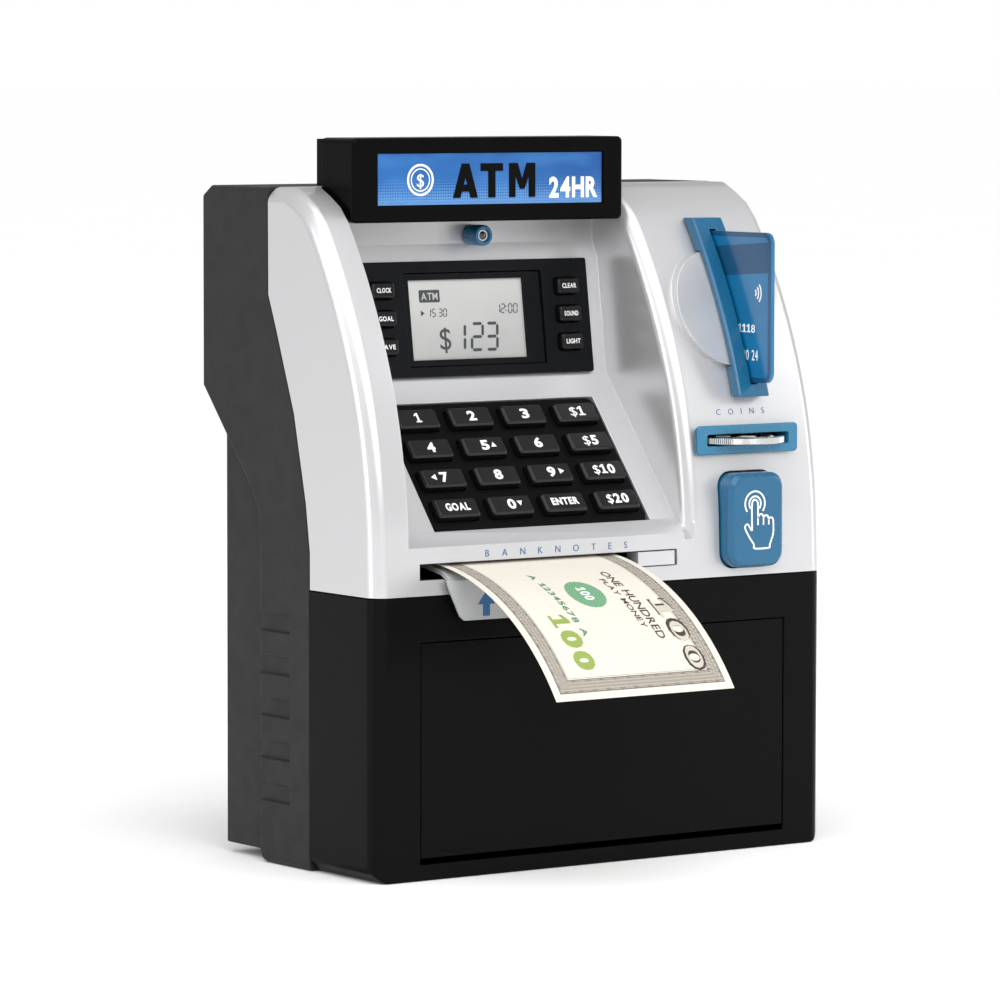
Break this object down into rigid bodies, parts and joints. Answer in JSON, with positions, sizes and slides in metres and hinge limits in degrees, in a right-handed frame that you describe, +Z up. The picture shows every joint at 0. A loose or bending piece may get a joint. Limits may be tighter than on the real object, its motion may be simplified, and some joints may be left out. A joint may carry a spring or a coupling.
{
  "type": "toy ATM savings bank",
  "caption": "Free-standing toy cash-machine money box with lit sign, screen, sloped keypad, banknote feeder, coin slot, card reader, press button and a drop-down cash door.",
  "frame": {"origin": "middle of the flat base in width, 45 mm behind the front plane, on the plane it stands on", "axes": "+X to the right as seen from the front, +Y towards the back, +Z up"},
  "size_m": [0.172, 0.1548, 0.2242],
  "materials": {
    "bezel_grey": "satin charcoal",
    "blue_plastic": "glossy blue",
    "board_green": "circuit board",
    "card_blue": "translucent blue card",
    "coin_silver": "silver play coin",
    "front_black": "fine satin black",
    "guide_grey": "light grey moulded",
    "key_black": "satin black with white print",
    "lcd_glass": "grey display",
    "note_paper": "printed play banknote",
    "nylon_white": "natural nylon",
    "rear_black": "satin moulded, dark charcoal",
    "rubber_black": "black rubber",
    "sign_blue": "printed blue panel",
    "silver_plastic": "silver-painted ABS",
    "steel": "steel"
  },
  "bodies": {
    "housing": {"keypad_panel": "key_black", "keypad_board": "board_green", "display_bezel": "bezel_grey", "lcd_panel": "lcd_glass", "rear_shell": "rear_black", "front_fascia": "silver_plastic", "lower_front": "front_black", "case_screw_upper_left": "steel", "case_screw_upper_right": "steel", "case_screw_lower_left": "steel", "case_screw_lower_right": "steel", "sign_housing": "front_black", "sign_window": "sign_blue", "sign_light_board": "board_green", "camera_housing": "blue_plastic", "note_guide": "guide_grey", "note_edge_stop": "rear_black", "feed_motor": "steel", "coin_slot_bezel": "blue_plastic", "coin_chute": "rear_black", "card_reader_bezel": "blue_plastic", "door_hinge_pin": "steel", "latch_solenoid": "steel", "main_board": "board_green", "speaker": "rubber_black"},
    "key_goal_body": {"key_goal": "key_black"},
    "key_0_body": {"key_0": "key_black"},
    "key_enter_body": {"key_enter": "key_black"},
    "key_20_dollars_body": {"key_20_dollars": "key_black"},
    "key_7_body": {"key_7": "key_black"},
    "key_8_body": {"key_8": "key_black"},
    "key_9_body": {"key_9": "key_black"},
    "key_10_dollars_body": {"key_10_dollars": "key_black"},
    "key_4_body": {"key_4": "key_black"},
    "key_5_body": {"key_5": "key_black"},
    "key_6_body": {"key_6": "key_black"},
    "key_5_dollars_body": {"key_5_dollars": "key_black"},
    "key_1_body": {"key_1": "key_black"},
    "key_2_body": {"key_2": "key_black"},
    "key_3_body": {"key_3": "key_black"},
    "key_1_dollar_body": {"key_1_dollar": "key_black"},
    "screen_key_left_3_body": {"screen_key_left_3": "key_black"},
    "screen_key_left_2_body": {"screen_key_left_2": "key_black"},
    "screen_key_left_1_body": {"screen_key_left_1": "key_black"},
    "screen_key_right_3_body": {"screen_key_right_3": "key_black"},
    "screen_key_right_2_body": {"screen_key_right_2": "key_black"},
    "screen_key_right_1_body": {"screen_key_right_1": "key_black"},
    "banknote_body": {"banknote": "note_paper"},
    "roller_body": {"feed_roller": "rubber_black", "roller_gear": "nylon_white"},
    "pinion_body": {"motor_pinion": "nylon_white"},
    "coin_body": {"coin": "coin_silver"},
    "fingerprint_button_body": {"fingerprint_button": "blue_plastic"},
    "bank_card_body": {"bank_card": "card_blue"},
    "door_body": {"door": "front_black", "door_strike": "nylon_white"},
    "latch_body": {"door_latch": "nylon_white"},
    "battery_cover_body": {"battery_cover": "rear_black"}
  },
  "joints": [
    {"name": "door_hinge", "type": "hinge", "parent": "housing", "child": "door_body", "pos_m": [0, -0.041, 0.0088], "axis": [1, 0, 0], "range_deg": [0, 88]},
    {"name": "latch_slide", "type": "slide", "parent": "housing", "child": "latch_body", "axis": [0, 0, -1], "range_m": [0, 0.0035], "stiffness_N_per_m": 20},
    {"name": "key_goal_press", "type": "slide", "parent": "housing", "child": "key_goal_body", "axis": [0, 0.7693, -0.6389], "range_m": [0, 0.001], "stiffness_N_per_m": 300},
    {"name": "key_0_press", "type": "slide", "parent": "housing", "child": "key_0_body", "axis": [0, 0.7693, -0.6389], "range_m": [0, 0.001], "stiffness_N_per_m": 300},
    {"name": "key_enter_press", "type": "slide", "parent": "housing", "child": "key_enter_body", "axis": [0, 0.7693, -0.6389], "range_m": [0, 0.001], "stiffness_N_per_m": 300},
    {"name": "key_20_dollars_press", "type": "slide", "parent": "housing", "child": "key_20_dollars_body", "axis": [0, 0.7693, -0.6389], "range_m": [0, 0.001], "stiffness_N_per_m": 300},
    {"name": "key_7_press", "type": "slide", "parent": "housing", "child": "key_7_body", "axis": [0, 0.7693, -0.6389], "range_m": [0, 0.001], "stiffness_N_per_m": 300},
    {"name": "key_8_press", "type": "slide", "parent": "housing", "child": "key_8_body", "axis": [0, 0.7693, -0.6389], "range_m": [0, 0.001], "stiffness_N_per_m": 300},
    {"name": "key_9_press", "type": "slide", "parent": "housing", "child": "key_9_body", "axis": [0, 0.7693, -0.6389], "range_m": [0, 0.001], "stiffness_N_per_m": 300},
    {"name": "key_10_dollars_press", "type": "slide", "parent": "housing", "child": "key_10_dollars_body", "axis": [0, 0.7693, -0.6389], "range_m": [0, 0.001], "stiffness_N_per_m": 300},
    {"name": "key_4_press", "type": "slide", "parent": "housing", "child": "key_4_body", "axis": [0, 0.7693, -0.6389], "range_m": [0, 0.001], "stiffness_N_per_m": 300},
    {"name": "key_5_press", "type": "slide", "parent": "housing", "child": "key_5_body", "axis": [0, 0.7693, -0.6389], "range_m": [0, 0.001], "stiffness_N_per_m": 300},
    {"name": "key_6_press", "type": "slide", "parent": "housing", "child": "key_6_body", "axis": [0, 0.7693, -0.6389], "range_m": [0, 0.001], "stiffness_N_per_m": 300},
    {"name": "key_5_dollars_press", "type": "slide", "parent": "housing", "child": "key_5_dollars_body", "axis": [0, 0.7693, -0.6389], "range_m": [0, 0.001], "stiffness_N_per_m": 300},
    {"name": "key_1_press", "type": "slide", "parent": "housing", "child": "key_1_body", "axis": [0, 0.7693, -0.6389], "range_m": [0, 0.001], "stiffness_N_per_m": 300},
    {"name": "key_2_press", "type": "slide", "parent": "housing", "child": "key_2_body", "axis": [0, 0.7693, -0.6389], "range_m": [0, 0.001], "stiffness_N_per_m": 300},
    {"name": "key_3_press", "type": "slide", "parent": "housing", "child": "key_3_body", "axis": [0, 0.7693, -0.6389], "range_m": [0, 0.001], "stiffness_N_per_m": 300},
    {"name": "key_1_dollar_press", "type": "slide", "parent": "housing", "child": "key_1_dollar_body", "axis": [0, 0.7693, -0.6389], "range_m": [0, 0.001], "stiffness_N_per_m": 300},
    {"name": "screen_key_left_3_press", "type": "slide", "parent": "housing", "child": "screen_key_left_3_body", "axis": [0, 0.9903, -0.1389], "range_m": [0, 0.001], "stiffness_N_per_m": 300},
    {"name": "screen_key_left_2_press", "type": "slide", "parent": "housing", "child": "screen_key_left_2_body", "axis": [0, 0.9903, -0.1389], "range_m": [0, 0.001], "stiffness_N_per_m": 300},
    {"name": "screen_key_left_1_press", "type": "slide", "parent": "housing", "child": "screen_key_left_1_body", "axis": [0, 0.9903, -0.1389], "range_m": [0, 0.001], "stiffness_N_per_m": 300},
    {"name": "screen_key_right_3_press", "type": "slide", "parent": "housing", "child": "screen_key_right_3_body", "axis": [0, 0.9903, -0.1389], "range_m": [0, 0.001], "stiffness_N_per_m": 300},
    {"name": "screen_key_right_2_press", "type": "slide", "parent": "housing", "child": "screen_key_right_2_body", "axis": [0, 0.9903, -0.1389], "range_m": [0, 0.001], "stiffness_N_per_m": 300},
    {"name": "screen_key_right_1_press", "type": "slide", "parent": "housing", "child": "screen_key_right_1_body", "axis": [0, 0.9903, -0.1389], "range_m": [0, 0.001], "stiffness_N_per_m": 300},
    {"name": "fingerprint_press", "type": "slide", "parent": "housing", "child": "fingerprint_button_body", "axis": [0, 1, 0], "range_m": [0, 0.002], "stiffness_N_per_m": 300},
    {"name": "card_slide", "type": "slide", "parent": "housing", "child": "bank_card_body", "axis": [0, -1, 0], "range_m": [0, 0.045]},
    {"name": "coin_slide", "type": "slide", "parent": "housing", "child": "coin_body", "axis": [0, 1, 0], "range_m": [-0.01, 0.015]},
    {"name": "battery_cover_slide", "type": "slide", "parent": "housing", "child": "battery_cover_body", "axis": [0, 1, 0], "range_m": [0, 0.02]},
    {"name": "note_slide", "type": "slide", "parent": "housing", "child": "banknote_body", "axis": [0, -0.9877, -0.1564], "range_m": [0, 0.025]},
    {"name": "roller_spin", "type": "hinge", "parent": "housing", "child": "roller_body", "pos_m": [0, -0.017, 0.1051], "axis": [1, 0, 0], "range_deg": [-290, 0]},
    {"name": "pinion_spin", "type": "hinge", "parent": "housing", "child": "pinion_body", "pos_m": [0, -0.0073, 0.1051], "axis": [1, 0, 0], "range_deg": [0, 580]}
  ],
  "couplings": [
    {"joint": "roller_spin", "follows": "note_slide", "rad_per_m": -200},
    {"joint": "pinion_spin", "follows": "note_slide", "rad_per_m": 400}
  ]
}
